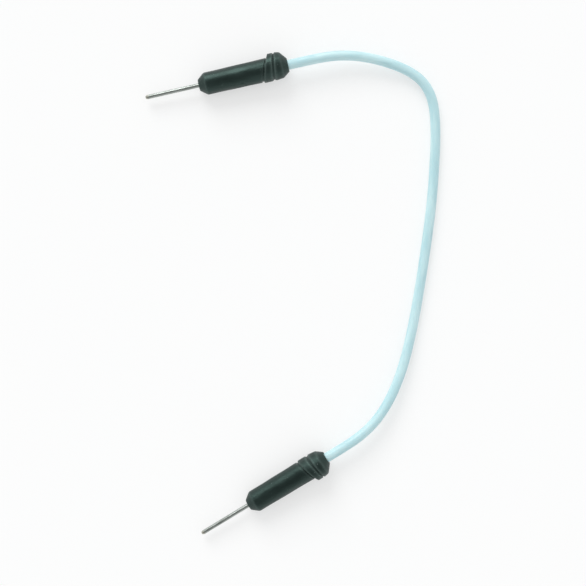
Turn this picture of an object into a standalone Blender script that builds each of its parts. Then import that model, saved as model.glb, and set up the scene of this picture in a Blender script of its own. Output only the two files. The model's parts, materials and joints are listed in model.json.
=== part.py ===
"""A flexible jumper wire with a moulded plug and a round pin on each end.

Metres, +Z up. The wire lies on the plane z = 0, as it comes to rest on a bench, with the origin
at the middle of the space that its two plugs take up. Each plug is built along its own +X, from
the flat nose at 0 towards the wire, and an empty puts it in its place.
"""

import math

import bmesh
import bpy
import numpy as np
from mathutils import Matrix, Vector

MM = 0.001

# Wire: a stranded core in an extruded jacket.
JACKET_DIAMETER = 1.40 * MM
JACKET_WALL = 0.32 * MM
CORE_DIAMETER = 0.60 * MM
TUBE_POINT_SPACING = 2.8 * MM
TUBE_BEVEL_RESOLUTION = 2

# Moulded housing, measured along the plug from its nose. Behind the body comes a collar of two
# ribs. Its front leans, and it stands out more on one side than on the other.
HOUSING_LENGTH = 13.0 * MM
NOSE_FACE_RADIUS = 0.80 * MM
NOSE_LENGTH = 1.00 * MM
NOSE_FACE_ROUNDING = 0.30 * MM
NOSE_EDGE_ROUNDING = 0.80 * MM
BODY_FRONT_RADIUS = 1.58 * MM
BODY_REAR_RADIUS = 1.65 * MM
GROOVE_WIDTH = 0.30 * MM
GROOVE_DEPTH = 0.12 * MM
COLLAR_START = 9.80 * MM
COLLAR_RADIUS = 1.96 * MM
COLLAR_EDGE = 0.12 * MM
COLLAR_GROOVE_START = 10.75 * MM
COLLAR_GROOVE_FLOOR = 10.95 * MM
COLLAR_GROOVE_END = 11.20 * MM
COLLAR_GROOVE_DEPTH = 0.20 * MM
COLLAR_REAR_RADIUS = 1.84 * MM
COLLAR_ROUNDING = 0.45 * MM
COLLAR_SLANT = 0.60 * MM
COLLAR_OFFSET = 0.20 * MM
REAR_CONE_LENGTH = 0.90 * MM
REAR_FACE_RADIUS = 0.95 * MM

# What runs through the housing: a round pin, its shoulder, its crimp barrel and the jacket's end.
FIT_GAP = 0.05 * MM
PIN_REACH = 7.80 * MM
PIN_RADIUS = 0.30 * MM
PIN_TIP_RADIUS = 0.18 * MM
PIN_TIP_LENGTH = 0.25 * MM
SHOULDER_START = 1.80 * MM
SHOULDER_LENGTH = 0.60 * MM
SHOULDER_RADIUS = 0.50 * MM
BARREL_START = 4.30 * MM
BARREL_SHOULDER = 0.40 * MM
BARREL_END = 8.20 * MM
BARREL_RADIUS = 0.56 * MM
BARREL_BORE_RADIUS = 0.35 * MM
BARREL_BORE_DEPTH = 3.10 * MM
BARREL_FLARE = 0.08 * MM
CORE_END_GAP = 0.20 * MM
JACKET_END = 9.00 * MM

# Places of the two plugs: where the wire leaves each one, and which way its rear faces, in plan.
PLUG_A_EXIT = (7.19 * MM, 32.46 * MM)
PLUG_A_YAW = math.radians(12.5)
PLUG_A_ROLL = math.radians(180.0)
PLUG_B_EXIT = (12.64 * MM, -23.25 * MM)
PLUG_B_YAW = math.radians(31.5)
PLUG_B_ROLL = math.radians(0.0)

# Route of the wire between the plugs, x, y and height of its centre in millimetres.
ROUTE_MM = [
    (10.13, 33.11, 2.14),
    (13.83, 33.75, 2.02),
    (17.53, 33.69, 1.76),
    (21.23, 32.92, 1.43),
    (24.15, 31.81, 1.14),
    (26.38, 30.20, 0.93),
    (27.70, 27.83, 0.77),
    (28.17, 24.88, 0.70),
    (28.24, 22.08, 0.70),
    (28.12, 19.07, 0.70),
    (27.80, 14.37, 0.70),
    (27.28, 9.67, 0.70),
    (26.62, 4.97, 0.70),
    (25.88, 0.27, 0.70),
    (25.04, -4.33, 0.77),
    (23.93, -9.03, 1.08),
    (22.29, -13.63, 1.50),
    (20.02, -17.53, 1.88),
    (17.63, -19.98, 2.08),
    (15.20, -21.68, 2.15),
]

HOUSING_SEGMENTS = 32
PIN_SEGMENTS = 20
ARC_STEPS = 3
CURVE_SAMPLES = 24

GROOVE_START = COLLAR_START - GROOVE_WIDTH
COLLAR_REAR = HOUSING_LENGTH - REAR_CONE_LENGTH


def clear_scene():
    """Removes what a new file holds."""
    for thing in list(bpy.data.objects):
        bpy.data.objects.remove(thing, do_unlink=True)


def finish(name, colour, roughness, metallic=0.0):
    """A plain material: linear colour, roughness and metallic value."""
    material = bpy.data.materials.new(name)
    material.use_nodes = True
    shader = material.node_tree.nodes["Principled BSDF"]
    shader.inputs["Base Color"].default_value = (*colour, 1.0)
    shader.inputs["Roughness"].default_value = roughness
    shader.inputs["Metallic"].default_value = metallic
    return material


def rounded(before, corner, after, radius):
    """The arc of that radius that takes the place of a corner between two straight lines."""
    corner = Vector(corner)
    back = (Vector(before) - corner).normalized()
    ahead = (Vector(after) - corner).normalized()
    half_angle = back.angle(ahead) / 2
    reach = radius / math.tan(half_angle)
    centre = corner + (back + ahead).normalized() * (radius / math.sin(half_angle))
    start = corner + back * reach - centre
    end = corner + ahead * reach - centre
    sweep = start.angle_signed(end)
    turns = [Matrix.Rotation(-sweep * step / ARC_STEPS, 2) for step in range(ARC_STEPS + 1)]
    return [tuple(centre + turn @ start) for turn in turns]


def turned(name, outline, segments, closed, shape=None):
    """A solid of revolution about +X. The outline is a list of (along, radius) points: a closed
    loop for a bored part, or a line from axis to axis for a solid one."""
    work = bmesh.new()
    points = [work.verts.new((along, 0.0, radius)) for along, radius in outline]
    pairs = list(zip(points, points[1:]))
    if closed:
        pairs.append((points[-1], points[0]))
    edges = [work.edges.new(pair) for pair in pairs]
    bmesh.ops.spin(
        work,
        geom=points + edges,
        cent=(0.0, 0.0, 0.0),
        axis=(1.0, 0.0, 0.0),
        angle=math.tau,
        steps=segments,
        use_merge=True,
    )
    bmesh.ops.remove_doubles(work, verts=work.verts, dist=1e-7)
    if shape:
        shape(work)
    bmesh.ops.recalc_face_normals(work, faces=work.faces)
    mesh = bpy.data.meshes.new(name)
    work.to_mesh(mesh)
    work.free()
    mesh.shade_smooth()
    mesh.set_sharp_from_angle(angle=math.radians(30.0))
    return mesh


def housing_outside():
    """The moulded body's outside, from the pin's hole in its nose to its rear face."""
    hole = (0.0, PIN_RADIUS + FIT_GAP)
    nose_face = (0.0, NOSE_FACE_RADIUS)
    nose_edge = (NOSE_LENGTH, BODY_FRONT_RADIUS)
    groove_start = (GROOVE_START, BODY_REAR_RADIUS)
    groove_radius = BODY_REAR_RADIUS - GROOVE_DEPTH
    rib_groove_radius = COLLAR_RADIUS - COLLAR_GROOVE_DEPTH
    rib_groove_end = (COLLAR_GROOVE_END, COLLAR_RADIUS)
    collar_rear = (COLLAR_REAR, COLLAR_REAR_RADIUS)
    rear_face = (HOUSING_LENGTH, REAR_FACE_RADIUS)
    return [
        hole,
        *rounded(hole, nose_face, nose_edge, NOSE_FACE_ROUNDING),
        *rounded(nose_face, nose_edge, groove_start, NOSE_EDGE_ROUNDING),
        groove_start,
        (GROOVE_START, groove_radius),
        (COLLAR_START, groove_radius),
        (COLLAR_START, COLLAR_RADIUS - COLLAR_EDGE),
        (COLLAR_START + COLLAR_EDGE, COLLAR_RADIUS),
        (COLLAR_GROOVE_START, COLLAR_RADIUS),
        (COLLAR_GROOVE_FLOOR, rib_groove_radius),
        rib_groove_end,
        *rounded(rib_groove_end, collar_rear, rear_face, COLLAR_ROUNDING),
        rear_face,
    ]


def housing_bore():
    """The stepped hole through the body, from the rear face back to the nose."""
    wire_bore = JACKET_DIAMETER / 2 + FIT_GAP
    pin_bore = PIN_RADIUS + FIT_GAP
    shoulder_bore = SHOULDER_RADIUS + FIT_GAP
    barrel_bore = BARREL_RADIUS + BARREL_FLARE + FIT_GAP
    shoulder_end = SHOULDER_START + SHOULDER_LENGTH
    return [
        (HOUSING_LENGTH, wire_bore),
        (JACKET_END - FIT_GAP, wire_bore),
        (JACKET_END - FIT_GAP, barrel_bore),
        (BARREL_START - FIT_GAP, barrel_bore),
        (BARREL_START - FIT_GAP, pin_bore),
        (shoulder_end + FIT_GAP, pin_bore),
        (shoulder_end + FIT_GAP, shoulder_bore),
        (SHOULDER_START - FIT_GAP, shoulder_bore),
        (SHOULDER_START - FIT_GAP, pin_bore),
    ]


def resting_line():
    """How a plug lies: the angle that its nose points down by, and the height of the nose's
    middle. It touches the bench with the front of its collar and one point of the outline ahead
    of that, the point to which the line from the collar runs flattest."""
    collar_along, collar_radius = COLLAR_START + COLLAR_EDGE, COLLAR_RADIUS
    tilt, along, radius = min(
        (math.atan2(collar_radius - radius, collar_along - along), along, radius)
        for along, radius in housing_outside()
        if along < GROOVE_START
    )
    return tilt, radius * math.cos(tilt) - along * math.sin(tilt)


def shape_collar(work):
    """Makes the collar start further forward on the +Y side, and moves it towards the -Y side.
    The lean fades out from the groove to the collar's rear edge."""
    for point in work.verts:
        radius = math.hypot(point.co.y, point.co.z)
        if point.co.x < GROOVE_START - FIT_GAP or radius < BARREL_RADIUS * 2:
            continue
        lean = min(1.0, max(0.0, (COLLAR_REAR - point.co.x) / (COLLAR_REAR - COLLAR_START)))
        point.co.x -= COLLAR_SLANT * lean * point.co.y / radius
        if radius > BODY_REAR_RADIUS + FIT_GAP:
            point.co.y -= COLLAR_OFFSET


def pin_outline():
    """The contact from its blunt tip to the mouth of its crimp barrel, then the barrel's bore."""
    shoulder_end = SHOULDER_START + SHOULDER_LENGTH
    barrel_body = BARREL_START + BARREL_SHOULDER
    bore_floor = BARREL_END - BARREL_BORE_DEPTH
    return [
        (-PIN_REACH, 0.0),
        (-PIN_REACH, PIN_TIP_RADIUS),
        (-PIN_REACH + PIN_TIP_LENGTH, PIN_RADIUS),
        (SHOULDER_START, PIN_RADIUS),
        (SHOULDER_START, SHOULDER_RADIUS),
        (shoulder_end, SHOULDER_RADIUS),
        (shoulder_end, PIN_RADIUS),
        (BARREL_START, PIN_RADIUS),
        (barrel_body, BARREL_RADIUS),
        (BARREL_END - BARREL_SHOULDER, BARREL_RADIUS),
        (BARREL_END, BARREL_RADIUS + BARREL_FLARE),
        (BARREL_END, BARREL_BORE_RADIUS + BARREL_FLARE),
        (BARREL_END - BARREL_SHOULDER, BARREL_BORE_RADIUS),
        (bore_floor, BARREL_BORE_RADIUS),
        (bore_floor, 0.0),
    ]


def plug_frame(name, exit_place, yaw, roll):
    """The empty that carries a plug, at the middle of its nose, with +X towards the wire."""
    frame = bpy.data.objects.new(name, None)
    tilt, nose_height = resting_line()
    reach = HOUSING_LENGTH * math.cos(tilt)
    frame.location = (
        exit_place[0] - reach * math.cos(yaw),
        exit_place[1] - reach * math.sin(yaw),
        nose_height,
    )
    frame.rotation_euler = (roll, -tilt, yaw)
    frame.empty_display_size = 5 * MM
    bpy.context.collection.objects.link(frame)
    bpy.context.view_layer.update()
    return frame


def add_piece(name, data, material, parent=None):
    """Links a named piece to the scene with its own material."""
    piece = bpy.data.objects.new(name, data)
    data.materials.append(material)
    bpy.context.collection.objects.link(piece)
    piece.parent = parent
    return piece


def on_axis(frame, along):
    """The point of a plug's axis that lies that far behind its nose."""
    return frame.matrix_world @ Vector((along, 0.0, 0.0))


def smooth_curve(points):
    """Points along the smooth curve that passes through the route's points: a cubic on each
    stretch, with slopes chosen so that the bend carries on evenly from one stretch to the next."""
    points = np.array(points, float)
    steps = np.linalg.norm(np.diff(points, axis=0), axis=1)
    rises = np.diff(points, axis=0) / steps[:, None]
    balance = np.eye(len(points))
    inner = 3 * (steps[1:, None] * rises[:-1] + steps[:-1, None] * rises[1:])
    wanted = np.vstack([rises[:1], inner, rises[-1:]])
    for row in range(1, len(points) - 1):
        balance[row, row - 1] = steps[row]
        balance[row, row] = 2 * (steps[row - 1] + steps[row])
        balance[row, row + 1] = steps[row - 1]
    slopes = np.linalg.solve(balance, wanted)
    part = np.linspace(0.0, 1.0, CURVE_SAMPLES, endpoint=False)[:, None]
    pieces = []
    for start, end, slope, next_slope, step in zip(points, points[1:], slopes, slopes[1:], steps):
        pieces.append(
            (2 * part**3 - 3 * part**2 + 1) * start
            + (part**3 - 2 * part**2 + part) * slope * step
            + (3 * part**2 - 2 * part**3) * end
            + (part**3 - part**2) * next_slope * step
        )
    return np.vstack([*pieces, points[-1:]])


def evenly_spaced(curve, spacing):
    """The same curve read at equal steps of about that spacing, with both of its ends."""
    steps = np.linalg.norm(np.diff(curve, axis=0), axis=1)
    along = np.concatenate([[0.0], np.cumsum(steps)])
    count = round(along[-1] / spacing) + 1
    wanted = np.linspace(0.0, along[-1], count)
    return np.stack([np.interp(wanted, along, curve[:, axis]) for axis in range(3)], axis=1)


def tube(name, points, diameter):
    """A round tube with flat ends along a line of points, as a bevelled curve."""
    curve = bpy.data.curves.new(name, "CURVE")
    curve.dimensions = "3D"
    curve.bevel_depth = diameter / 2
    curve.bevel_resolution = TUBE_BEVEL_RESOLUTION
    spline = curve.splines.new("POLY")
    spline.points.add(len(points) - 1)
    for point, place in zip(spline.points, points):
        point.co = (*place, 1.0)
    return curve


def build_plug(letter, exit_place, yaw, roll, black, plated):
    """One moulded housing with its pin, on an empty of its own."""
    frame = plug_frame(f"plug_{letter}", exit_place, yaw, roll)
    section = housing_outside() + housing_bore()
    housing = turned(f"housing_{letter}", section, HOUSING_SEGMENTS, True, shape_collar)
    add_piece(f"housing_{letter}", housing, black, frame)
    pin = turned(f"pin_{letter}", pin_outline(), PIN_SEGMENTS, False)
    add_piece(f"pin_{letter}", pin, plated, frame)
    return frame


def build_wire(plug_a, plug_b, pale_blue, tinned):
    """The jacket, bored for the core, and the core, which runs on into both crimp barrels."""
    lead = (JACKET_END + HOUSING_LENGTH) / 2
    start = [on_axis(plug_a, along) for along in (JACKET_END, lead, HOUSING_LENGTH)]
    end = [on_axis(plug_b, along) for along in (HOUSING_LENGTH, lead, JACKET_END)]
    route = [Vector(place) * MM for place in ROUTE_MM]
    points = evenly_spaced(smooth_curve(start + route + end), TUBE_POINT_SPACING)
    points[:, 2] = np.maximum(points[:, 2], JACKET_DIAMETER / 2)

    jacket = tube("insulation", points, JACKET_DIAMETER)
    insulation = add_piece("insulation", jacket, pale_blue)
    wall = insulation.modifiers.new("wall", "SOLIDIFY")
    wall.thickness = JACKET_WALL
    wall.offset = -1.0
    wall.use_even_offset = True

    core_end = BARREL_END - BARREL_BORE_DEPTH + CORE_END_GAP
    core_points = [on_axis(plug_a, core_end), *points, on_axis(plug_b, core_end)]
    core = tube("conductor", core_points, CORE_DIAMETER)
    core.use_fill_caps = True
    add_piece("conductor", core, tinned)


def main():
    """Builds both plugs and the wire between them."""
    clear_scene()
    black = finish("black_moulded_pvc", (0.012, 0.014, 0.014), 0.38)
    pale_blue = finish("pale_blue_pvc", (0.61, 0.77, 0.82), 0.35)
    plated = finish("nickel_plated_brass", (0.62, 0.60, 0.55), 0.25, 1.0)
    tinned = finish("tinned_copper", (0.70, 0.66, 0.60), 0.35, 1.0)
    plug_a = build_plug("a", PLUG_A_EXIT, PLUG_A_YAW, PLUG_A_ROLL, black, plated)
    plug_b = build_plug("b", PLUG_B_EXIT, PLUG_B_YAW, PLUG_B_ROLL, black, plated)
    build_wire(plug_a, plug_b, pale_blue, tinned)


main()
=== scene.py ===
"""The looks of a flexible jumper wire with a moulded plug and a round pin on each end.

Metres, +Z up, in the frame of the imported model. Inside the classes a size is in millimetres, and
each piece is worked out along its own straight +X first and then laid where the frame has it.
"""

import json
import logging
import math
from abc import ABC, abstractmethod
from dataclasses import dataclass
from enum import Enum
from typing import Any

import bpy
import numpy as np
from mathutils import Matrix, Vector


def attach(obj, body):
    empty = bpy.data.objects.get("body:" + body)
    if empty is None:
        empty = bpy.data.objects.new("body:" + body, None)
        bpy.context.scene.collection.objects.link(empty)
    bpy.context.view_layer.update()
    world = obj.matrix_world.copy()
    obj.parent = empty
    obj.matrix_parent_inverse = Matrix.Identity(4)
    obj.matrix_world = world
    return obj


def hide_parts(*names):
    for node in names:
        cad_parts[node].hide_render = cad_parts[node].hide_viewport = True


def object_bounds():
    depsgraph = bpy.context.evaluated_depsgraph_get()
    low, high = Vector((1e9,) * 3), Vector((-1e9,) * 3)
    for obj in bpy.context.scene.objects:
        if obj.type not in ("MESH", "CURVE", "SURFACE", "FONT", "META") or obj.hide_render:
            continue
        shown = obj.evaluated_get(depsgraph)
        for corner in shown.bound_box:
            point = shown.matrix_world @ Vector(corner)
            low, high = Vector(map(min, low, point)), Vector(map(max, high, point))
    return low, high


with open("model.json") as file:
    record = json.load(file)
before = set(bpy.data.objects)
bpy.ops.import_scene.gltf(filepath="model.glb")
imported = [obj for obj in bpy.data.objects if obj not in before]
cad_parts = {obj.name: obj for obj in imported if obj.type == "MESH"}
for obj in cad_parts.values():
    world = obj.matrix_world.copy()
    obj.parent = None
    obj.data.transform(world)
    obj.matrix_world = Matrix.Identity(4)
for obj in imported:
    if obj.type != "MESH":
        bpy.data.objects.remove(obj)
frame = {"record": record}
cad_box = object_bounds()

MM = 0.001
BODY = "root"
OWN_PLACE = "own_place"
# The attribute of how much each point wears at an edge; on the housing it also sets a painted
# highlight there.
RUB_AND_HIGHLIGHT = "rub_and_highlight"
WRAP = "along_and_around"

# Sockets of the mix node for colours, whose names it uses more than once.
MIX_SHARE = 0
MIX_FIRST = 6
MIX_SECOND = 7
MIX_RESULT = 2

# Where the wire's centre runs between its two plugs. Each row is x, y and z in millimetres.
ROUTE = np.array([
    (10.13, 33.11, 2.14),
    (13.83, 33.75, 2.02),
    (17.53, 33.69, 1.76),
    (21.23, 32.92, 1.43),
    (24.15, 31.81, 1.14),
    (26.38, 30.20, 0.93),
    (27.70, 27.83, 0.77),
    (28.17, 24.88, 0.70),
    (28.24, 22.08, 0.70),
    (28.12, 19.07, 0.70),
    (27.80, 14.37, 0.70),
    (27.28, 9.67, 0.70),
    (26.62, 4.97, 0.70),
    (25.88, 0.27, 0.70),
    (25.04, -4.33, 0.77),
    (23.93, -9.03, 1.08),
    (22.29, -13.63, 1.50),
    (20.02, -17.53, 1.88),
    (17.63, -19.98, 2.08),
    (15.20, -21.68, 2.15),
]) * MM

log = logging.getLogger("jumper_wire")


class Slot(Enum):
    """The record's material slots."""

    JACKET = "wire_jacket"
    HOUSING = "plug_housing"
    PIN = "contact_pin"
    CORE = "wire_core"


def linear(hex_code: str) -> tuple[float, float, float, float]:
    """Turns a screen colour into the linear colour that a shader reads.

    Each channel c is c / 12.92 up to 0.04045, and ((c + 0.055) / 1.055) to the power 2.4 above it.

    Args:
        hex_code: The colour as six hex digits.

    Returns:
        Linear red, green and blue, and 1 for opaque.
    """
    channels = np.frombuffer(bytes.fromhex(hex_code), dtype=np.uint8) / 255.0
    bright = ((channels + 0.055) / 1.055) ** 2.4
    return (*np.where(channels <= 0.04045, channels / 12.92, bright).tolist(), 1.0)


def fill(node: bpy.types.Node, inputs: dict[str | int, Any]) -> None:
    """Gives a node its inputs.

    Args:
        node: The node.
        inputs: What each input gets, by name or number: a value, or the output to link it to.
    """
    for key, value in inputs.items():
        if isinstance(value, bpy.types.NodeSocket):
            node.id_data.links.new(value, node.inputs[key])
        else:
            node.inputs[key].default_value = value


def add_node(
    tree: bpy.types.NodeTree, kind: str, inputs: dict[str | int, Any], output: str | int = 0,
    **settings: Any,
) -> bpy.types.NodeSocket:
    """Adds a node with its settings, values and links.

    Args:
        tree: The nodes of a material or of the world.
        kind: Blender's name of the node's kind.
        inputs: What each input gets, by name or number.
        output: Which of its outputs is wanted.
        **settings: The node's own settings.

    Returns:
        That output.
    """
    node = tree.nodes.new(kind)
    for key, value in settings.items():
        setattr(node, key, value)
    fill(node, inputs)
    return node.outputs[output]


@dataclass(frozen=True)
class Pattern:
    """A soft random pattern on a piece.

    Attributes:
        grain: The size of its patches along the piece and across it both ways, in millimetres.
        detail: How many finer layers it has.
        span: The stretch of the noise that counts. The noise runs from 0 to 1 and is mostly near
            a half.
        levels: What that stretch is carried over to in a straight line.
    """

    grain: tuple[float, float, float]
    detail: float = 2.0
    span: tuple[float, float] = (0.0, 1.0)
    levels: tuple[float, float] = (0.0, 1.0)

    def value(self, tree: bpy.types.NodeTree, own: bpy.types.NodeSocket) -> bpy.types.NodeSocket:
        """Adds the pattern's nodes.

        Args:
            tree: The material's nodes.
            own: The place on the piece, in millimetres along and across its own axis.

        Returns:
            The pattern's value at that place.
        """
        scale = tuple(1.0 / size for size in self.grain)
        place = add_node(tree, "ShaderNodeMapping", {"Vector": own, "Scale": scale})
        inputs = {"Vector": place, "Scale": 1.0, "Detail": self.detail}
        noise = add_node(tree, "ShaderNodeTexNoise", inputs)
        low, high = self.span
        inputs = {"Value": noise, "From Min": low, "From Max": high}
        inputs["To Min"], inputs["To Max"] = self.levels
        return add_node(tree, "ShaderNodeMapRange", inputs)


@dataclass(frozen=True)
class Finish(ABC):
    """What every finish shares: its name, and a shader that its own nodes are linked to."""

    name: str

    def material(self) -> bpy.types.Material:
        """Makes the finish's material, once for the whole scene.

        Returns:
            The material.
        """
        found = bpy.data.materials.get(self.name)
        if found:
            return found
        material = bpy.data.materials.new(self.name)
        material.use_nodes = True
        tree = material.node_tree
        own = add_node(tree, "ShaderNodeAttribute", {}, "Vector", attribute_name=OWN_PLACE)
        fill(tree.nodes["Principled BSDF"], self.shader_inputs(tree, own))
        return material

    @abstractmethod
    def shader_inputs(
        self, tree: bpy.types.NodeTree, own: bpy.types.NodeSocket
    ) -> dict[str | int, Any]:
        """Adds the finish's own nodes.

        Args:
            tree: The material's nodes.
            own: The place on the piece, in millimetres along and across its own axis.

        Returns:
            What each input of the Principled BSDF gets.
        """

    @staticmethod
    def layered(
        tree: bpy.types.NodeTree, base: str, layers: list[tuple[bpy.types.NodeSocket, str]]
    ) -> bpy.types.NodeSocket:
        """Lays colours over a base, one after the other.

        Args:
            tree: The material's nodes.
            base: The base's colour.
            layers: The share and the colour of each layer.

        Returns:
            The colour that comes out.
        """
        tone = linear(base)
        for share, colour in layers:
            inputs = {MIX_SHARE: share, MIX_FIRST: tone, MIX_SECOND: linear(colour)}
            tone = add_node(tree, "ShaderNodeMix", inputs, MIX_RESULT, data_type="RGBA")
        return tone

    @staticmethod
    def edge_wear_and_highlight(tree: bpy.types.NodeTree, patches: bpy.types.NodeSocket) -> bpy.types.NodeSocket:
        """How much the edges wear, and on the housing a painted highlight along them: the edge
        value times the patches that it comes off in.
        """
        edge = add_node(tree, "ShaderNodeAttribute", {}, "Fac", attribute_name=RUB_AND_HIGHLIGHT)
        return add_node(tree, "ShaderNodeMath", {0: edge, 1: patches}, operation="MULTIPLY")


@dataclass(frozen=True)
class ExtrudedPvc(Finish):
    """Soft PVC drawn through a ring-shaped die.

    The die leaves fine lines along the wire, drawn 0.1 mm apart to show at all, and the pigment
    lies in slow milky clouds. Fingers leave spots that are a little darker and duller. Light goes
    a little way into the pale plastic, which softens its shade.
    """

    colour: str = "BADFE5"
    milky: str = "CAE9ED"
    handled: str = "ADD0D6"
    clouds: Pattern = Pattern((5.0, 0.9, 0.9), span=(0.38, 0.66))
    spots: Pattern = Pattern((2.2, 0.7, 0.7), detail=4.0, span=(0.56, 0.74), levels=(0.0, 0.45))
    roughness: Pattern = Pattern((2.2, 0.7, 0.7), detail=4.0, span=(0.30, 0.72), levels=(0.30, 0.46))
    die_lines: Pattern = Pattern((14.0, 0.10, 0.10), detail=1.0)
    line_height: float = 0.0016
    refraction: float = 1.53
    inner_light: float = 0.18
    light_reach: tuple[float, float, float] = (0.28, 0.35, 0.385)

    def shader_inputs(
        self, tree: bpy.types.NodeTree, own: bpy.types.NodeSocket
    ) -> dict[str | int, Any]:
        """Adds the milky clouds, the handled spots and the die lines.

        Args:
            tree: The material's nodes.
            own: The place on the piece.

        Returns:
            What each input of the Principled BSDF gets.
        """
        clouds, spots = self.clouds.value(tree, own), self.spots.value(tree, own)
        lines = {"Height": self.die_lines.value(tree, own), "Distance": self.line_height * MM}
        return {
            "Base Color": self.layered(
                tree, self.colour, [(clouds, self.milky), (spots, self.handled)]
            ),
            "Roughness": self.roughness.value(tree, own),
            "Normal": add_node(tree, "ShaderNodeBump", lines),
            "IOR": self.refraction,
            "Subsurface Weight": self.inner_light,
            "Subsurface Radius": self.light_reach,
            "Subsurface Scale": MM,
        }


@dataclass(frozen=True)
class MouldedPvc(Finish):
    """Black PVC moulded over the contact and the wire.

    The plastic cools unevenly, which shows as faint flow bands and as highlights that wander a
    little. They are soft and slightly green. The mould leaves an even fine grain, drawn at 0.07 mm
    to show at all. Edges wear paler, and the same paler colour is a painted highlight along them,
    brightest on the collar's ridges. A few specks of dust and hairline scuffs lie on it.
    """

    colour: str = "121918"
    flow: str = "1A2221"
    rubbed_and_highlight: str = "4C5855"
    dust: str = "8C9894"
    sheen: str = "CFFFF3"
    bands: Pattern = Pattern((3.2, 1.1, 1.1), span=(0.35, 0.65))
    roughness: Pattern = Pattern((3.2, 1.1, 1.1), span=(0.35, 0.65), levels=(0.38, 0.50))
    waves: Pattern = Pattern((3.2, 1.1, 1.1))
    grain: Pattern = Pattern((0.07, 0.07, 0.07), detail=3.0)
    patches: Pattern = Pattern((0.07, 0.07, 0.07), detail=3.0, span=(0.35, 0.62), levels=(0.25, 1.0))
    scuffs: Pattern = Pattern((1.6, 0.05, 0.05), span=(0.68, 0.76), levels=(0.0, 0.5))
    specks: Pattern = Pattern((0.16, 0.16, 0.16), detail=0.0, span=(0.83, 0.87), levels=(0.0, 0.6))
    wave_height: float = 0.09
    grain_height: float = 0.0036
    refraction: float = 1.53

    def shader_inputs(
        self, tree: bpy.types.NodeTree, own: bpy.types.NodeSocket
    ) -> dict[str | int, Any]:
        """Adds flow bands, edge wear with painted highlight, scuffs, dust, waves and grain.

        Args:
            tree: The material's nodes.
            own: The place on the piece.

        Returns:
            What each input of the Principled BSDF gets.
        """
        layers = [
            (self.bands.value(tree, own), self.flow),
            # Edges wear paler, and this paler colour along them is also a painted highlight, brightest
            # on the collar's ridges.
            (self.edge_wear_and_highlight(tree, self.patches.value(tree, own)), self.rubbed_and_highlight),
            (self.scuffs.value(tree, own), self.rubbed_and_highlight),
            (self.specks.value(tree, own), self.dust),
        ]
        waves = {"Height": self.waves.value(tree, own), "Distance": self.wave_height * MM}
        grain = {"Height": self.grain.value(tree, own), "Distance": self.grain_height * MM}
        grain["Normal"] = add_node(tree, "ShaderNodeBump", waves)
        return {
            "Base Color": self.layered(tree, self.colour, layers),
            "Roughness": self.roughness.value(tree, own),
            "Normal": add_node(tree, "ShaderNodeBump", grain),
            "IOR": self.refraction,
            "Specular Tint": linear(self.sheen),
        }


@dataclass(frozen=True)
class PlatedPin(Finish):
    """Bright nickel plated on drawn brass.

    Drawing leaves fine lines along the pin that stretch its highlight, and are drawn 0.06 mm apart
    to show at all. Pushing it into sockets stains it grey and rubs the plate thin at the tip's
    edge, where the brass shows through warm.
    """

    colour: str = "A9AFAB"
    stained: str = "8D938E"
    brass: str = "BFA77A"
    stains: Pattern = Pattern((1.8, 0.5, 0.5), detail=3.0, span=(0.46, 0.70))
    roughness: Pattern = Pattern((1.8, 0.5, 0.5), detail=3.0, span=(0.30, 0.70), levels=(0.36, 0.48))
    draw_lines: Pattern = Pattern((9.0, 0.06, 0.06))
    patches: Pattern = Pattern((9.0, 0.06, 0.06), span=(0.40, 0.60), levels=(0.05, 0.50))
    line_height: float = 0.00025

    def shader_inputs(
        self, tree: bpy.types.NodeTree, own: bpy.types.NodeSocket
    ) -> dict[str | int, Any]:
        """Adds the stains, the brass that shows at the tip, and the drawing lines.

        Args:
            tree: The material's nodes.
            own: The place on the piece.

        Returns:
            What each input of the Principled BSDF gets.
        """
        layers = [
            (self.stains.value(tree, own), self.stained),
            (self.edge_wear_and_highlight(tree, self.patches.value(tree, own)), self.brass),
        ]
        lines = {"Height": self.draw_lines.value(tree, own), "Distance": self.line_height * MM}
        return {
            "Base Color": self.layered(tree, self.colour, layers),
            "Roughness": self.roughness.value(tree, own),
            "Normal": add_node(tree, "ShaderNodeBump", lines),
            "Metallic": 1.0,
        }


@dataclass(frozen=True)
class TinnedCopper(Finish):
    """Thin copper strands dipped in tin: a soft grey shine with copper showing in thin places."""

    colour: str = "D3CFC6"
    copper: str = "C68B6A"
    thin: Pattern = Pattern((0.9, 0.12, 0.12), detail=3.0, span=(0.60, 0.78), levels=(0.0, 0.6))
    roughness: Pattern = Pattern((0.9, 0.12, 0.12), detail=3.0, span=(0.30, 0.70), levels=(0.26, 0.44))
    ripples: Pattern = Pattern((0.9, 0.12, 0.12), detail=3.0)
    ripple_height: float = 0.002

    def shader_inputs(
        self, tree: bpy.types.NodeTree, own: bpy.types.NodeSocket
    ) -> dict[str | int, Any]:
        """Adds the copper that shows through and the ripples of the tin.

        Args:
            tree: The material's nodes.
            own: The place on the piece.

        Returns:
            What each input of the Principled BSDF gets.
        """
        ripples = {"Height": self.ripples.value(tree, own), "Distance": self.ripple_height * MM}
        return {
            "Base Color": self.layered(
                tree, self.colour, [(self.thin.value(tree, own), self.copper)]
            ),
            "Roughness": self.roughness.value(tree, own),
            "Normal": add_node(tree, "ShaderNodeBump", ripples),
            "Metallic": 1.0,
        }


def bell(distance: np.ndarray, width: float) -> np.ndarray:
    """A bell that is 1 at no distance: e to the power of minus the square of distance / width."""
    return np.exp(-((distance / width) ** 2))


def window(along: np.ndarray, start: float, end: float, fade: float) -> np.ndarray:
    """1 between two places and 0 outside them, with a straight slope that long inside each."""
    return np.clip(np.minimum(along - start, end - along) / fade, 0.0, 1.0)


def run_along(line: np.ndarray) -> np.ndarray:
    """How far along a line each of its points is."""
    return np.concatenate([[0.0], np.cumsum(np.linalg.norm(np.diff(line, axis=0), axis=1))])


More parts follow.
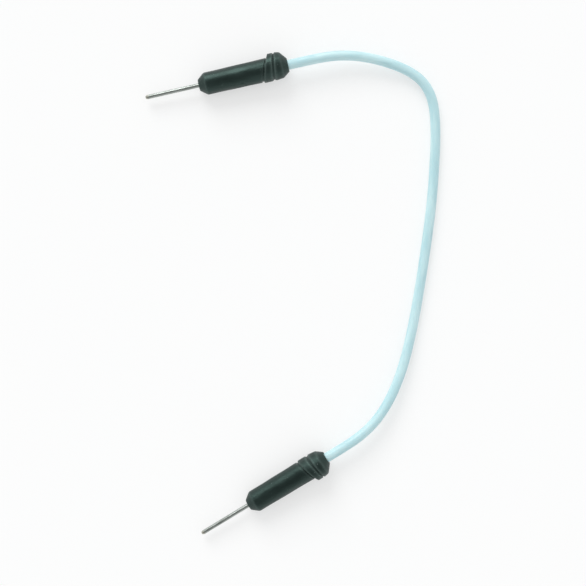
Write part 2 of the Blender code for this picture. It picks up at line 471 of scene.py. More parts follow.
def evenly_spaced(curve: np.ndarray, spacing: float) -> np.ndarray:
    """Reads a curve at equal steps.

    Args:
        curve: The curve's points.
        spacing: About how long each step is.

    Returns:
        Points along the same curve, both of its ends included.
    """
    run = run_along(curve)
    wanted = np.linspace(0.0, run[-1], round(run[-1] / spacing) + 1)
    return np.stack([np.interp(wanted, run, curve[:, axis]) for axis in range(3)], axis=1)


def smooth_curve(points: np.ndarray, samples: int = 24) -> np.ndarray:
    """Lays a smooth curve through points.

    Each stretch is a cubic in the share of the way along it. The slopes are chosen so that the
    bend carries on evenly from one stretch to the next, which is a set of linear equations.

    Args:
        points: The points that the curve passes through.
        samples: How many points each stretch gets.

    Returns:
        The curve's points.
    """
    steps = np.linalg.norm(np.diff(points, axis=0), axis=1)
    rises = np.diff(points, axis=0) / steps[:, None]
    inner = 3 * (steps[1:, None] * rises[:-1] + steps[:-1, None] * rises[1:])
    balance = np.eye(len(points))
    rows = np.arange(1, len(points) - 1)
    balance[rows, rows - 1] = steps[1:]
    balance[rows, rows] = 2 * (steps[:-1] + steps[1:])
    balance[rows, rows + 1] = steps[:-1]
    slopes = np.linalg.solve(balance, np.vstack([rises[:1], inner, rises[-1:]]))
    share = np.linspace(0.0, 1.0, samples, endpoint=False)[:, None]
    step = steps[:, None, None]
    curve = (
        (2 * share**3 - 3 * share**2 + 1) * points[:-1, None]
        + (share**3 - 2 * share**2 + share) * slopes[:-1, None] * step
        + (3 * share**2 - 2 * share**3) * points[1:, None]
        + (share**3 - share**2) * slopes[1:, None] * step
    )
    return np.vstack([curve.reshape(-1, 3), points[-1:]])


def across(line: np.ndarray) -> tuple[np.ndarray, np.ndarray]:
    """Finds the directions square to a line at each of its points.

    Args:
        line: The line's points.

    Returns:
        The level side, and the direction that is up from it.
    """
    ahead = np.gradient(line, axis=0)
    side = np.cross((0.0, 0.0, 1.0), ahead)
    side /= np.linalg.norm(side, axis=1)[:, None]
    up = np.cross(ahead, side)
    return side, up / np.linalg.norm(up, axis=1)[:, None]


def swept(
    line: np.ndarray, radius: np.ndarray, turns: np.ndarray
) -> tuple[np.ndarray, np.ndarray]:
    """Carries a circle along a line: centre + radius (side cos t + up sin t).

    Args:
        line: The centre line in metres.
        radius: The radius in millimetres, by point and, if it changes round the circle, by angle.
        turns: The angles round the circle.

    Returns:
        The rings in metres, and the same places in millimetres along the line made straight.
    """
    side, up = across(line)
    sideways, upwards = radius * np.cos(turns), radius * np.sin(turns)
    offset = sideways[..., None] * side[:, None] + upwards[..., None] * up[:, None]
    along = np.broadcast_to(run_along(line)[:, None] / MM, sideways.shape)
    return line[:, None] + offset * MM, np.stack([along, sideways, upwards], axis=2)


def turned(outline: np.ndarray, turns: np.ndarray) -> np.ndarray:
    """Carries an outline round the x axis: (x, r) becomes (x, r cos t, r sin t).

    Args:
        outline: One row of (along, radius) for each ring.
        turns: The angles round the axis.

    Returns:
        Points by ring and by angle.
    """
    along = np.broadcast_to(outline[:, :1], (len(outline), len(turns)))
    radius = outline[:, 1:]
    return np.stack([along, radius * np.cos(turns), radius * np.sin(turns)], axis=2)


@dataclass(frozen=True)
class Corner:
    """A corner of a turned outline, in millimetres: its place, its rounding, and how much it rubs
    and, on the housing, how bright a painted highlight along it is.
    """

    along: float
    radius: float
    rounding: float = 0.0
    rub_and_highlight: float = 0.0


@dataclass(frozen=True)
class Outline:
    """Half of a turned piece's section: a line through corners, closed for a bored piece.

    Attributes:
        corners: The corners in order.
        closed: Whether the last one joins the first one.
        spacing: The longest step along a straight, in millimetres.
        arc_step: The longest step along a corner's arc.
        rub_and_highlight_reach: How far from a corner its wear and painted highlight go.
    """

    corners: tuple[Corner, ...]
    closed: bool
    spacing: float = 0.16
    arc_step: float = 0.045
    rub_and_highlight_reach: float = 0.16

    def places(self) -> np.ndarray:
        """The corners' places, one row of (along, radius) each."""
        return np.array([(corner.along, corner.radius) for corner in self.corners])

    def arc(
        self, before: np.ndarray, corner: np.ndarray, after: np.ndarray, rounding: float
    ) -> np.ndarray:
        """Rounds a corner off with an arc.

        Its centre lies on the line that halves the corner's angle, at the rounding over the sine
        of the half angle. It runs between the points that are the rounding over the half angle's
        tangent away from the corner on either side.

        Args:
            before: The corner before this one.
            corner: This corner.
            after: The corner after it.
            rounding: The arc's radius, or 0 for a sharp corner.

        Returns:
            The arc's points in order.
        """
        if rounding == 0.0:
            return corner[None]
        back = (before - corner) / np.linalg.norm(before - corner)
        ahead = (after - corner) / np.linalg.norm(after - corner)
        half = math.acos(float(np.clip(back @ ahead, -1.0, 1.0))) / 2
        middle = (back + ahead) / np.linalg.norm(back + ahead)
        centre = corner + middle * rounding / math.sin(half)
        start = corner + back * rounding / math.tan(half) - centre
        turn = math.copysign(math.pi - 2 * half, back[0] * ahead[1] - back[1] * ahead[0])
        steps = max(3, math.ceil(rounding * abs(turn) / self.arc_step))
        angle = math.atan2(start[1], start[0]) - turn * np.linspace(0.0, 1.0, steps + 1)
        return centre + rounding * np.stack([np.cos(angle), np.sin(angle)], axis=1)

    def points(self) -> np.ndarray:
        """Follows the outline: arcs at its corners, and evenly spaced points on its straights.

        Returns:
            One row of (along, radius) for each point.
        """
        places = self.places()
        arcs = [
            self.arc(before, place, after, corner.rounding)
            for before, place, after, corner in zip(
                np.roll(places, 1, axis=0), places, np.roll(places, -1, axis=0), self.corners
            )
        ]
        if self.closed:
            arcs.append(arcs[0][:1])
        joined = [arcs[0]]
        for earlier, later in zip(arcs, arcs[1:]):
            way = later[0] - earlier[-1]
            count = max(1, math.ceil(float(np.linalg.norm(way)) / self.spacing))
            joined += [earlier[-1] + way * np.arange(1, count)[:, None] / count, later]
        points = np.vstack(joined)
        return points[:-1] if self.closed else points

    def rub_and_highlight(self, points: np.ndarray) -> np.ndarray:
        """Works out how much each point wears, which on the housing is also a painted highlight.

        It is the largest of the corners' own values, each times a bell of the distance to it.

        Args:
            points: The outline's points.

        Returns:
            A value from 0 to 1 for each point.
        """
        strength = np.array([corner.rub_and_highlight for corner in self.corners])
        distance = np.linalg.norm(points[:, None] - self.places()[None], axis=2)
        return np.max(strength * bell(distance, self.rub_and_highlight_reach), axis=1)


@dataclass(frozen=True)
class Skin:
    """A closed surface made of rings of points, each ring joined to the next.

    The rings run along the outside towards the piece's own +x and then back inside it, and each
    ring runs from its own y to its own z, so that every face looks outwards.

    Attributes:
        rings: Places in metres in the row frame, by ring and by step round the ring.
        own: The same places in millimetres along and across the piece's own straight axis.
        rub_and_highlight: How much each ring wears, and on the housing its painted highlight.
        looped: Whether the last ring joins the first one. If not, a flat face closes each end.
    """

    rings: np.ndarray
    own: np.ndarray
    rub_and_highlight: np.ndarray
    looped: bool

    def corners(self) -> list[tuple[np.ndarray, np.ndarray]]:
        """Lists the corners of the faces between rings, and of those in the two end rings.

        Returns:
            Pairs of the ring and the step of every corner, with one face in each row.
        """
        rings, around = self.rings.shape[:2]
        ring, step = np.indices((rings if self.looped else rings - 1, around))
        ring = np.stack([ring, ring, ring + 1, ring + 1], axis=-1).reshape(-1, 4)
        step = np.stack([step, step + 1, step + 1, step], axis=-1).reshape(-1, 4)
        if self.looped:
            return [(ring, step)]
        turn = np.arange(around)
        ends = np.repeat([[0], [rings - 1]], around, axis=1)
        return [(ring, step), (ends, np.stack([turn[::-1], turn]))]

    def faces(self) -> tuple[list[list[int]], np.ndarray]:
        """Makes the faces.

        Returns:
            The numbers of each face's vertices, and the place of each face's corners in turn on
            the surface unrolled: its share of the way along it and of the turn round it.
        """
        rings, around = self.rings.shape[:2]
        run = run_along(np.vstack([self.own[:, 0], self.own[:1, 0]]))
        numbers, places = [], []
        for ring, step in self.corners():
            numbers += (ring % rings * around + step % around).tolist()
            places.append(np.stack([run[ring] / run[-1], step / around], axis=-1).reshape(-1, 2))
        return numbers, np.vstack(places)


@dataclass(frozen=True)
class Piece:
    """One visible piece: closed skins in one finish, in a CAD node's place.

    Attributes:
        name: The piece's name.
        skins: Its closed surfaces.
        finish: What it is finished in.
        slot: The record's slot of that finish; not used.
        replaced: The CAD node that it stands for.
        sharp_angle: Edges that turn by more than this stay sharp.
    """

    name: str
    skins: tuple[Skin, ...]
    finish: Finish
    slot: Slot
    replaced: str
    sharp_angle: float = math.radians(40.0)

    def build(self) -> bpy.types.Object:
        """Makes the piece's object, with its place in its mesh.

        Returns:
            The new object.
        """
        points, own, rub_and_highlight, faces, wrap = [], [], [], [], []
        for skin in self.skins:
            first = sum(map(len, points))
            numbers, places = skin.faces()
            faces += [[first + number for number in face] for face in numbers]
            points.append(skin.rings.reshape(-1, 3))
            own.append(skin.own.reshape(-1, 3))
            rub_and_highlight.append(np.repeat(skin.rub_and_highlight, skin.rings.shape[1]))
            wrap.append(places)

        mesh = bpy.data.meshes.new(self.name)
        mesh.from_pydata(np.vstack(points), [], faces)
        for name, kind, key, values in (
            (OWN_PLACE, "FLOAT_VECTOR", "vector", np.vstack(own)),
            (RUB_AND_HIGHLIGHT, "FLOAT", "value", np.concatenate(rub_and_highlight)),
        ):
            layer = mesh.attributes.new(name, kind, "POINT")
            layer.data.foreach_set(key, values.astype(np.float32).ravel())
        layer = mesh.uv_layers.new(name=WRAP)
        layer.data.foreach_set("uv", np.vstack(wrap).astype(np.float32).ravel())
        mesh.materials.append(self.finish.material())
        mesh.shade_smooth()
        mesh.set_sharp_from_angle(angle=self.sharp_angle)
        mesh.update()

        piece = bpy.data.objects.new(self.name, mesh)
        bpy.context.scene.collection.objects.link(piece)
        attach(piece, BODY)
        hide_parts(self.replaced)
        log.info("%s: %d faces, in %s", self.name, len(faces), self.finish.name)
        return piece


@dataclass(frozen=True)
class PlugPlace:
    """Where a plug lies: the middle of its nose, and its own x, y and z directions as rows."""

    nose: np.ndarray
    axes: np.ndarray

    @classmethod
    def from_pin_tip(cls, mount_name: str, reach: float, upside_down: bool) -> "PlugPlace":
        """Reads a plug's place from the mount on its pin's tip.

        Its x runs against the mount's axis, its y is level and its z is square to both. A plug
        that lies upside down is turned by half a turn about its x.

        Args:
            mount_name: The mount's name in the record.
            reach: How far the tip stands out of the nose, in millimetres.
            upside_down: Whether the plug's own z points down.

        Returns:
            The plug's place.
        """
        mount = next(m for m in frame["record"]["mounts"] if m["name"] == mount_name)
        ahead = -np.array(mount["axis"])
        ahead /= np.linalg.norm(ahead)
        side = np.cross((0.0, 0.0, 1.0), ahead)
        side /= np.linalg.norm(side)
        up = np.cross(ahead, side)
        sense = -1.0 if upside_down else 1.0
        nose = np.array(mount["pos_m"]) + ahead * reach * MM
        return cls(nose, np.stack([ahead, side * sense, up * sense]))

    def to_row(self, own: np.ndarray) -> np.ndarray:
        """Lays points in the plug's own millimetres where the plug lies, in metres."""
        return self.nose + own @ self.axes * MM

    def on_axis(self, along: float) -> np.ndarray:
        """The point of the plug's axis that far behind its nose."""
        return self.to_row(np.array((along, 0.0, 0.0)))


@dataclass(frozen=True)
class PlugHousing:
    """The moulded housing of a plug. Sizes are in millimetres from its nose.

    Three numbers give a stretch's start, its end and its radius, and in the rib groove its front
    edge, its bottom and its rear edge. Two numbers give a start and an end.
    """

    length: float = 13.0
    nose_face_radius: float = 0.80
    nose_length: float = 1.00
    body_front_radius: float = 1.58
    body_rear_radius: float = 1.65
    groove_start: float = 9.50
    groove_depth: float = 0.12
    collar_start: float = 9.80
    collar_radius: float = 1.96
    rib_groove: tuple[float, float, float] = (10.75, 10.95, 11.20)
    rib_groove_depth: float = 0.20
    collar_rear: float = 12.10
    collar_rear_radius: float = 1.84
    collar_slant: float = 0.60
    collar_offset: float = 0.20
    offset_margin: float = 0.10
    slant_fades_from: float = 4.0
    rear_face_radius: float = 0.95
    wire_bore: float = 0.75
    pin_bore: float = 0.35
    shoulder_bore: tuple[float, float, float] = (1.75, 2.45, 0.55)
    barrel_bore: tuple[float, float, float] = (4.25, 8.95, 0.69)
    parting_angle: float = math.radians(16.0)
    parting_height: float = 0.022
    parting_width: float = 0.06
    parting_ends: tuple[float, float] = (0.30, 12.50)
    parting_fade: float = 0.30
    gate_along: float = 6.4
    gate_angle: float = math.radians(-28.0)
    gate_radius: float = 0.34
    gate_height: float = 0.045
    gate_moat: float = 0.022
    gate_moat_width: float = 0.08
    sink_depth: float = 0.018
    sink_spacing: float = 4.2
    sink_ends: tuple[float, float] = (1.00, 9.30)
    sink_fade: float = 0.80
    steps: int = 216
    plastic: Finish = MouldedPvc("black_moulded_pvc")

    def outside(self) -> tuple[Corner, ...]:
        """Gives the section of the housing's outside.

        Returns:
            Its corners, from the pin's hole in the nose to the rear face.
        """
        floor = self.body_rear_radius - self.groove_depth
        start, bottom, end = self.rib_groove
        # A corner's last number is how much it wears and also how bright a painted highlight along
        # that edge is, most on the collar's ridges.
        return (
            Corner(0.0, self.pin_bore, rounding=0.04, rub_and_highlight=0.2),
            Corner(0.0, self.nose_face_radius, rounding=0.22, rub_and_highlight=0.5),
            Corner(self.nose_length, self.body_front_radius, rounding=0.60, rub_and_highlight=0.6),
            Corner(self.groove_start, self.body_rear_radius, rounding=0.05, rub_and_highlight=0.5),
            Corner(self.groove_start, floor, rounding=0.04),
            Corner(self.collar_start, floor, rounding=0.04),
            Corner(self.collar_start, self.collar_radius, rounding=0.14, rub_and_highlight=1.0),
            Corner(start, self.collar_radius, rounding=0.10, rub_and_highlight=0.8),
            Corner(bottom, self.collar_radius - self.rib_groove_depth, rounding=0.06),
            Corner(end, self.collar_radius, rounding=0.10, rub_and_highlight=0.9),
            Corner(self.collar_rear, self.collar_rear_radius, rounding=0.45, rub_and_highlight=0.6),
            Corner(self.length, self.rear_face_radius, rounding=0.08, rub_and_highlight=0.4),
        )

    def bore(self) -> tuple[Corner, ...]:
        """Gives the section of the stepped hole through the housing.

        Returns:
            Its corners, from the rear face back to the nose.
        """
        barrel_start, barrel_end, barrel_radius = self.barrel_bore
        shoulder_start, shoulder_end, shoulder_radius = self.shoulder_bore
        return (
            Corner(self.length, self.wire_bore, rounding=0.05),
            Corner(barrel_end, self.wire_bore),
            Corner(barrel_end, barrel_radius),
            Corner(barrel_start, barrel_radius),
            Corner(barrel_start, self.pin_bore),
            Corner(shoulder_end, self.pin_bore),
            Corner(shoulder_end, shoulder_radius),
            Corner(shoulder_start, shoulder_radius),
            Corner(shoulder_start, self.pin_bore),
        )

    def relief(self, along: np.ndarray, angle: np.ndarray, radius: np.ndarray) -> np.ndarray:
        """The outside's fine relief.

        The surface falls in shallow sinks along the body, by the square of a sine. It rises in a
        thin ridge where the two halves of the mould met, a bell of the distance from that line,
        and in a round spot with a shallow moat where the plastic was let in. The spot is e to the
        power of minus the sixth power of the distance over its radius, and the moat is a bell.

        Args:
            along: How far behind the nose each point is.
            angle: How far round the axis from the plug's y it is.
            radius: How far from the axis it is.

        Returns:
            How much each point rises.
        """
        sinks = np.sin((along - self.nose_length) * math.pi / self.sink_spacing) ** 2
        sinks = sinks * window(along, *self.sink_ends, self.sink_fade)
        from_parting = np.arcsin(np.sin(angle - self.parting_angle)) * radius
        ridge = bell(from_parting, self.parting_width)
        ridge = ridge * window(along, *self.parting_ends, self.parting_fade)
        gate_turn = angle - self.gate_angle
        sideways = np.arctan2(np.sin(gate_turn), np.cos(gate_turn)) * radius
        from_gate = np.hypot(sideways, along - self.gate_along)
        spot = np.exp(-((from_gate / self.gate_radius) ** 6))
        moat = bell(from_gate - self.gate_radius - self.gate_moat_width, self.gate_moat_width)
        return (
            self.parting_height * ridge
            + self.gate_height * spot
            - self.gate_moat * moat
            - self.sink_depth * sinks
        )

    def leaned(self, own: np.ndarray) -> np.ndarray:
        """Gives the collar its slant and its offset.

        A point moves forward by the slant times its y over its radius. The slant grows along the
        body, is whole at the collar's front and fades out to its rear edge. The collar moves
        towards -y, by a share that grows in a straight line up its front face and down its rear
        cone.

        Args:
            own: The outside's points.

        Returns:
            The shaped points.
        """
        along = own[..., 0]
        radius = np.hypot(own[..., 1], own[..., 2])
        grows = (along - self.slant_fades_from) / (self.groove_start - self.slant_fades_from)
        fades = (self.collar_rear - along) / (self.collar_rear - self.collar_start)
        slant = np.clip(np.minimum(grows, fades), 0.0, 1.0)
        floor = self.body_rear_radius - self.groove_depth
        front_top = self.collar_radius - self.offset_margin
        rear_top = self.collar_rear_radius - self.offset_margin
        front = (radius - floor) / (front_top - floor)
        rear = (radius - self.rear_face_radius) / (rear_top - self.rear_face_radius)
        moved = np.clip(np.where(along < self.rib_groove[0], front, rear), 0.0, 1.0)
        moved = np.where(along < (self.groove_start + self.collar_start) / 2, 0.0, moved)
        shift = np.stack([
            -self.collar_slant * slant * own[..., 1] / radius,
            -self.collar_offset * moved,
            np.zeros_like(along),
        ], axis=-1)
        return own + shift

    def build(self, letter: str, place: PlugPlace) -> bpy.types.Object:
        """Builds the housing as one bored shell.

        Its outside, which is all that lies further out than the wire's bore, gets the relief and
        the leaning collar.

        Args:
            letter: The letter that names the plug.
            place: Where the plug lies.

        Returns:
            The housing.
        """
        outline = Outline(self.outside() + self.bore(), closed=True)
        points = outline.points()
        turns = np.linspace(0.0, math.tau, self.steps, endpoint=False)
        along, radius = points[:, :1], points[:, 1:]
        raised = turned(points, turns)
        raised[..., 1:] *= (1 + self.relief(along, turns, radius) / radius)[..., None]
        outer = (radius > self.wire_bore)[..., None]
        own = np.where(outer, self.leaned(raised), turned(points, turns))
        skin = Skin(place.to_row(own), own, outline.rub_and_highlight(points), looped=True)
        name, replaced = f"plug_housing_{letter}", f"housing_{letter}"
        return Piece(name, (skin,), self.plastic, Slot.HOUSING, replaced).build()


@dataclass(frozen=True)
class PlugContact:
    """The contact of a plug: pin, shoulder and crimp barrel in one piece.

    Sizes are in millimetres from the plug's nose. Three numbers give a stretch's start, its end
    and its radius, and the barrel's two numbers give its start and its end.
    """

    pin_reach: float = 7.80
    pin_radius: float = 0.30
    tip_radius: float = 0.18
    tip_length: float = 0.25
    shoulder: tuple[float, float, float] = (1.80, 2.40, 0.50)
    barrel: tuple[float, float] = (4.30, 8.20)
    barrel_shoulder: float = 0.40
    barrel_radius: float = 0.56
    barrel_bore_radius: float = 0.35
    barrel_bore_depth: float = 3.10
    barrel_flare: float = 0.08
    crimp_depth: float = 0.07
    crimp_width: float = 0.32
    crimp_places: tuple[float, float] = (5.9, 7.1)
    steps: int = 64
    plate: Finish = PlatedPin("nickel_plated_brass")

    def section(self) -> tuple[Corner, ...]:
        """Gives the section of the contact.

        Returns:
            Its corners, from the blunt tip to the floor of the crimp barrel's bore.
        """
        shoulder_start, shoulder_end, shoulder_radius = self.shoulder
        start, end = self.barrel
        mouth = end - self.barrel_shoulder
        floor = end - self.barrel_bore_depth
        return (
            Corner(-self.pin_reach, 0.0),
            Corner(-self.pin_reach, self.tip_radius, rounding=0.05, rub_and_highlight=1.0),
            Corner(-self.pin_reach + self.tip_length, self.pin_radius, rounding=0.12, rub_and_highlight=0.8),
            Corner(shoulder_start, self.pin_radius),
            Corner(shoulder_start, shoulder_radius, rounding=0.05),
            Corner(shoulder_end, shoulder_radius, rounding=0.05),
            Corner(shoulder_end, self.pin_radius),
            Corner(start, self.pin_radius, rounding=0.05),
            Corner(start + self.barrel_shoulder, self.barrel_radius, rounding=0.15),
            Corner(mouth, self.barrel_radius, rounding=0.15),
            Corner(end, self.barrel_radius + self.barrel_flare, rounding=0.03),
            Corner(end, self.barrel_bore_radius + self.barrel_flare, rounding=0.03),
            Corner(mouth, self.barrel_bore_radius, rounding=0.10),
            Corner(floor, self.barrel_bore_radius),
            Corner(floor, 0.0),
        )

    def build(self, letter: str, place: PlugPlace) -> bpy.types.Object:
        """Builds the contact, with two crimp dents pressed into each side of its barrel.

        A dent is a bell along the barrel and the fourth power of a cosine round it.

        Args:
            letter: The letter that names the plug.
            place: Where the plug lies.

        Returns:
            The contact.
        """
        outline = Outline(self.section(), closed=False)
        points = outline.points()[1:-1]
        turns = np.linspace(0.0, math.tau, self.steps, endpoint=False)
        along, radius = points[:, :1], points[:, 1:]
        dents = sum(bell(along - middle, self.crimp_width) for middle in self.crimp_places)
        outer = radius > (self.barrel_radius + self.barrel_bore_radius) / 2
        dent = self.crimp_depth * dents * outer * np.cos(turns) ** 4
        own = turned(points, turns)
        own[..., 1:] *= (1 - dent / radius)[..., None]
        skin = Skin(place.to_row(own), own, outline.rub_and_highlight(points), looped=False)
        name, replaced = f"contact_pin_{letter}", f"pin_{letter}"
        return Piece(name, (skin,), self.plate, Slot.PIN, replaced).build()


@dataclass(frozen=True)
class MouldedPlug:
    """A plug: its housing with the contact in it, the letter that names it, and where it lies."""

    letter: str
    place: PlugPlace
    housing: PlugHousing = PlugHousing()
    contact: PlugContact = PlugContact()

    def build(self) -> None:
        """Builds the contact and then the housing round it."""
        self.contact.build(self.letter, self.place)
        self.housing.build(self.letter, self.place)


@dataclass(frozen=True)
class FlexibleWire:
    """The wire between two plugs: seven twisted strands in a jacket. Sizes are in millimetres."""

    start: MouldedPlug
    end: MouldedPlug
    diameter: float = 1.40
    bore: float = 0.76
    strand_radius: float = 0.10
    strand_lay: float = 9.0
    outer_strands: int = 6
    jacket_end: float = 9.0
    core_end: float = 5.3
    spacing: float = 0.30
    jacket_steps: int = 48
    strand_steps: int = 10
    waver: float = 0.004
    waver_waves: tuple[tuple[float, float], ...] = ((0.6, 3.1), (0.4, 1.3))
    lay_relief: float = 0.0015
    plastic: Finish = ExtrudedPvc("pale_blue_extruded_pvc")
    tin: Finish = TinnedCopper("tinned_copper_strand")

    def line(self, inside: float) -> np.ndarray:
        """The wire's centre line from inside one plug to inside the other.

        Args:
            inside: How far behind each nose the line ends, in millimetres.

        Returns:
            Evenly spaced points in metres, none lower than the jacket's radius.
        """
        rear = self.start.housing.length
        leads = (self.jacket_end, (self.jacket_end + rear) / 2, rear)
        first = [self.start.place.on_axis(along) for along in leads]
        last = [self.end.place.on_axis(along) for along in reversed(leads)]
        curve = smooth_curve(np.vstack([first, ROUTE, last]))
        if inside < self.jacket_end:
            ends = self.start.place.on_axis(inside), self.end.place.on_axis(inside)
            curve = np.vstack([ends[0], curve, ends[1]])
        line = evenly_spaced(curve, self.spacing * MM)
        line[:, 2] = np.maximum(line[:, 2], self.diameter / 2 * MM)
        return line

    def jacket(self) -> bpy.types.Object:
        """Builds the jacket as one bored tube.

        Its radius wavers a little along its length, as a sum of slow sine waves, and by a sixfold
        cosine that turns with the strands below it.

        Returns:
            The jacket.
        """
        line = self.line(self.jacket_end)
        turns = np.linspace(0.0, math.tau, self.jacket_steps, endpoint=False)
        run = run_along(line)[:, None] / MM
        waver = sum(share * np.sin(run / length) for share, length in self.waver_waves)
        lay = self.outer_strands * (turns - math.tau * run / self.strand_lay)
        outer = self.diameter / 2 + self.waver * waver + self.lay_relief * np.cos(lay)
        inner = np.full_like(outer, self.bore / 2)
        outside, own_outside = swept(line, outer, turns)
        inside, own_inside = swept(line, inner, turns)
        rings = np.vstack([outside, inside[::-1]])
        own = np.vstack([own_outside, own_inside[::-1]])
        skin = Skin(rings, own, np.zeros(len(rings)), looped=True)
        return Piece("wire_insulation", (skin,), self.plastic, Slot.JACKET, "insulation").build()

    def core(self) -> bpy.types.Object:
        """Builds the core: one straight strand and six that wind round it.

        A winding strand's centre is (a cos t, a sin t) across the line, where a is the strands'
        diameter and t grows by a whole turn over each lay.

        Returns:
            The core.
        """
        line = self.line(self.core_end)
        turns = np.linspace(0.0, math.tau, self.strand_steps, endpoint=False)
        run = run_along(line) / MM
        side, up = across(line)
        radius = np.full((len(line), 1), self.strand_radius)
        skins = []
        for index in range(self.outer_strands + 1):
            distance = 2 * self.strand_radius * (index > 0)
            turn = math.tau * (run / self.strand_lay + index / self.outer_strands)
            sideways, upwards = distance * np.cos(turn)[:, None], distance * np.sin(turn)[:, None]
            rings, own = swept(line + (sideways * side + upwards * up) * MM, radius, turns)
            skins.append(Skin(rings, own, np.zeros(len(rings)), looped=False))
        return Piece("stranded_core", tuple(skins), self.tin, Slot.CORE, "conductor").build()

    def build(self) -> bpy.types.Object:
        """Returns:
            The jacket.
        """
        core = self.core()
        jacket = self.jacket()
        line = self.line(self.jacket_end)
        self.start.place.on_axis(self.start.housing.length).tolist()
        return jacket


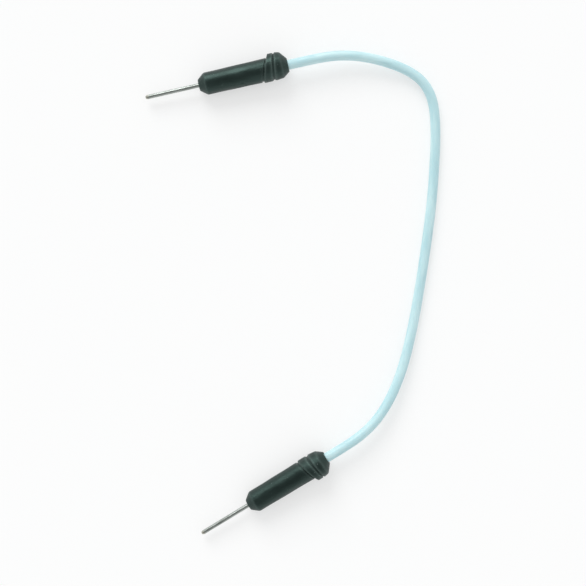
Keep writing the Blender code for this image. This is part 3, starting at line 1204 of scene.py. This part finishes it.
@dataclass(frozen=True)
class Studio:
    """A plain white floor, soft light and a camera that looks straight down. Sizes in metres.

    Attributes:
        frame_width: How much of the floor the picture is wide.
        floor_glow: The share of the floor that is pure white to the camera and to what mirrors
            it. The rest is lit paper, which keeps the shadow.
        world_strength: How bright the world is as a light.
        overhead: How bright shiny surfaces see it overhead, where it is 1 at their sides.
        dimming: The upward part of a direction at which that dimming starts and ends.
        key_from: The direction that the lamp shines from.
        key_angle: How wide the lamp looks.
    """

    frame_width: float = 0.084
    lens: float = 85.0
    sensor: float = 36.0
    clip_range: float = 100.0
    floor_radius: float = 3.0
    floor_steps: int = 96
    floor_colour: str = "FBFCFC"
    floor_glow: float = 0.50
    world_strength: float = 0.72
    overhead: float = 0.25
    dimming: tuple[float, float] = (0.25, 0.85)
    key_from: tuple[float, float, float] = (-0.30, 0.80, 0.58)
    key_angle: float = math.radians(36.0)
    key_strength: float = 1.5

    def camera(self, centre: Vector) -> None:
        """Puts the camera above a place, so that the picture is as wide as the frame width.

        Args:
            centre: The place.
        """
        data = bpy.data.cameras.new("camera")
        data.lens, data.sensor_width = self.lens, self.sensor
        camera = bpy.data.objects.new("camera", data)
        distance = self.frame_width * self.lens / self.sensor
        camera.location = (centre.x, centre.y, distance)
        data.clip_start, data.clip_end = distance / self.clip_range, distance * self.clip_range
        bpy.context.scene.collection.objects.link(camera)
        bpy.context.scene.camera = camera

    @staticmethod
    def any_ray(tree: bpy.types.NodeTree, *kinds: str) -> bpy.types.NodeSocket:
        """Tells rays apart.

        Args:
            tree: The nodes of a material or of the world.
            kinds: The Light Path node's names of the kinds of ray.

        Returns:
            1 for rays of these kinds, and 0 for all others.
        """
        path = add_node(tree, "ShaderNodeLightPath", {}).node.outputs
        found = path[kinds[0]]
        for kind in kinds[1:]:
            found = add_node(tree, "ShaderNodeMath", {0: found, 1: path[kind]}, operation="MAXIMUM")
        return found

    def floor(self) -> None:
        """Lays the floor: a round white plane that keeps the wire's soft shadow."""
        turns = np.linspace(0.0, math.tau, self.floor_steps, endpoint=False)
        rim = self.floor_radius * np.stack([np.cos(turns), np.sin(turns), 0 * turns], axis=1)
        mesh = bpy.data.meshes.new("studio_floor")
        mesh.from_pydata(rim.tolist(), [], [list(range(self.floor_steps))])
        material = bpy.data.materials.new("white_backdrop_paper")
        material.use_nodes = True
        tree = material.node_tree
        seen = self.any_ray(tree, "Is Camera Ray", "Is Glossy Ray", "Is Transmission Ray")
        share = add_node(
            tree, "ShaderNodeMath", {0: seen, 1: self.floor_glow}, operation="MULTIPLY"
        )
        paper = add_node(tree, "ShaderNodeBsdfDiffuse", {"Color": linear(self.floor_colour)})
        glow = add_node(tree, "ShaderNodeEmission", {"Strength": 1.0})
        both = add_node(tree, "ShaderNodeMixShader", {0: share, 1: paper, 2: glow})
        fill(tree.nodes["Material Output"], {"Surface": both})
        mesh.materials.append(material)
        floor = bpy.data.objects.new("studio_floor", mesh)
        bpy.context.scene.collection.objects.link(floor)

    def world(self) -> None:
        """Makes the white world, which is an even light and the background of low views.

        What shines sees it white at the sides and dimmer overhead, as in an open light tent.
        """
        world = bpy.data.worlds.new("white_studio")
        world.use_nodes = True
        tree = world.node_tree
        direction = add_node(tree, "ShaderNodeTexCoord", {}, "Generated")
        height = add_node(tree, "ShaderNodeSeparateXYZ", {0: direction}, "Z")
        start, end = self.dimming
        dimmed = {"Value": height, "From Min": start, "From Max": end}
        dimmed.update({"To Min": 1.0, "To Max": self.overhead})
        mirrored = {"Value": self.any_ray(tree, "Is Glossy Ray"), "To Min": self.world_strength}
        mirrored["To Max"] = add_node(tree, "ShaderNodeMapRange", dimmed)
        seen = {"Value": self.any_ray(tree, "Is Camera Ray", "Is Transmission Ray"), "To Max": 1.0}
        seen["To Min"] = add_node(tree, "ShaderNodeMapRange", mirrored)
        strength = add_node(tree, "ShaderNodeMapRange", seen)
        white = (1.0, 1.0, 1.0, 1.0)
        fill(tree.nodes["Background"], {"Color": white, "Strength": strength})
        bpy.context.scene.world = world

    def lamp(self) -> None:
        """Hangs the lamp, as wide as a large softbox and far enough to light all evenly."""
        data = bpy.data.lights.new("wide_key", "SUN")
        data.angle, data.energy = self.key_angle, self.key_strength
        lamp = bpy.data.objects.new("wide_key", data)
        lamp.location = self.key_from
        lamp.rotation_mode = "QUATERNION"
        lamp.rotation_quaternion = Vector(self.key_from).to_track_quat("Z", "Y")
        bpy.context.scene.collection.objects.link(lamp)

    def build(self, low: Vector, high: Vector) -> None:
        """Builds the whole stage.

        Args:
            low: The lowest corner of the object's box.
            high: Its highest corner.
        """
        self.camera((low + high) / 2)
        self.floor()
        self.world()
        self.lamp()
        bpy.context.scene.view_settings.view_transform = "Standard"
        log.info("studio: camera %.0f mm above the floor", bpy.context.scene.camera.location.z / MM)


def main() -> None:
    """Builds the stage, the wire and its two plugs."""
    logging.basicConfig(level=logging.INFO, format="%(name)s: %(message)s")
    Studio().build(*cad_box)
    reach = PlugContact.pin_reach
    plug_a = MouldedPlug("a", PlugPlace.from_pin_tip("pin_a_tip", reach, upside_down=True))
    plug_b = MouldedPlug("b", PlugPlace.from_pin_tip("pin_b_tip", reach, upside_down=False))
    FlexibleWire(plug_a, plug_b).build()
    plug_a.build()
    plug_b.build()


if __name__ == "__main__":
    main()
